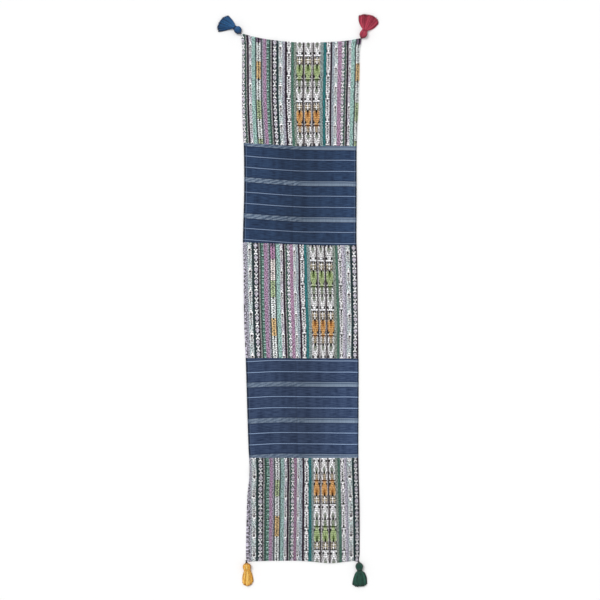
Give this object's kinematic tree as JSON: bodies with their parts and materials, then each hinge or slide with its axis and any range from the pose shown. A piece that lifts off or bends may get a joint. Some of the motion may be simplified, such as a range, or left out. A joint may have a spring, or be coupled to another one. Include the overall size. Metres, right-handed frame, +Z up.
{
  "type": "tasseled table runner",
  "caption": "Long handwoven table runner of striped and indigo panels sewn end to end, lying flat, with a yarn tassel at each corner.",
  "frame": {"origin": "middle of the runner's flat underside, on the surface it lies on", "axes": "+X across the runner, towards the red and green tassels; +Y along it, towards the blue and red tassels; +Z up"},
  "size_m": [0.4676, 1.6569, 0.0176],
  "materials": {
    "striped_cloth": "matt warp-faced cotton in many narrow stripes with woven chains and brocaded figures",
    "indigo_cloth": "matt indigo cotton with thin pale lines and hazy ikat bands",
    "blue_yarn": "soft twisted cotton yarn, blue",
    "red_yarn": "soft twisted cotton yarn, red",
    "gold_yarn": "soft twisted cotton yarn, golden yellow",
    "green_yarn": "soft twisted cotton yarn, green"
  },
  "bodies": {
    "root": {"panel_top": "striped_cloth", "panel_indigo_upper": "indigo_cloth", "panel_middle": "striped_cloth", "panel_indigo_lower": "indigo_cloth", "panel_bottom": "striped_cloth", "tassel_blue": "blue_yarn", "tassel_red": "red_yarn", "tassel_gold": "gold_yarn", "tassel_green": "green_yarn"}
  },
  "joints": []
}
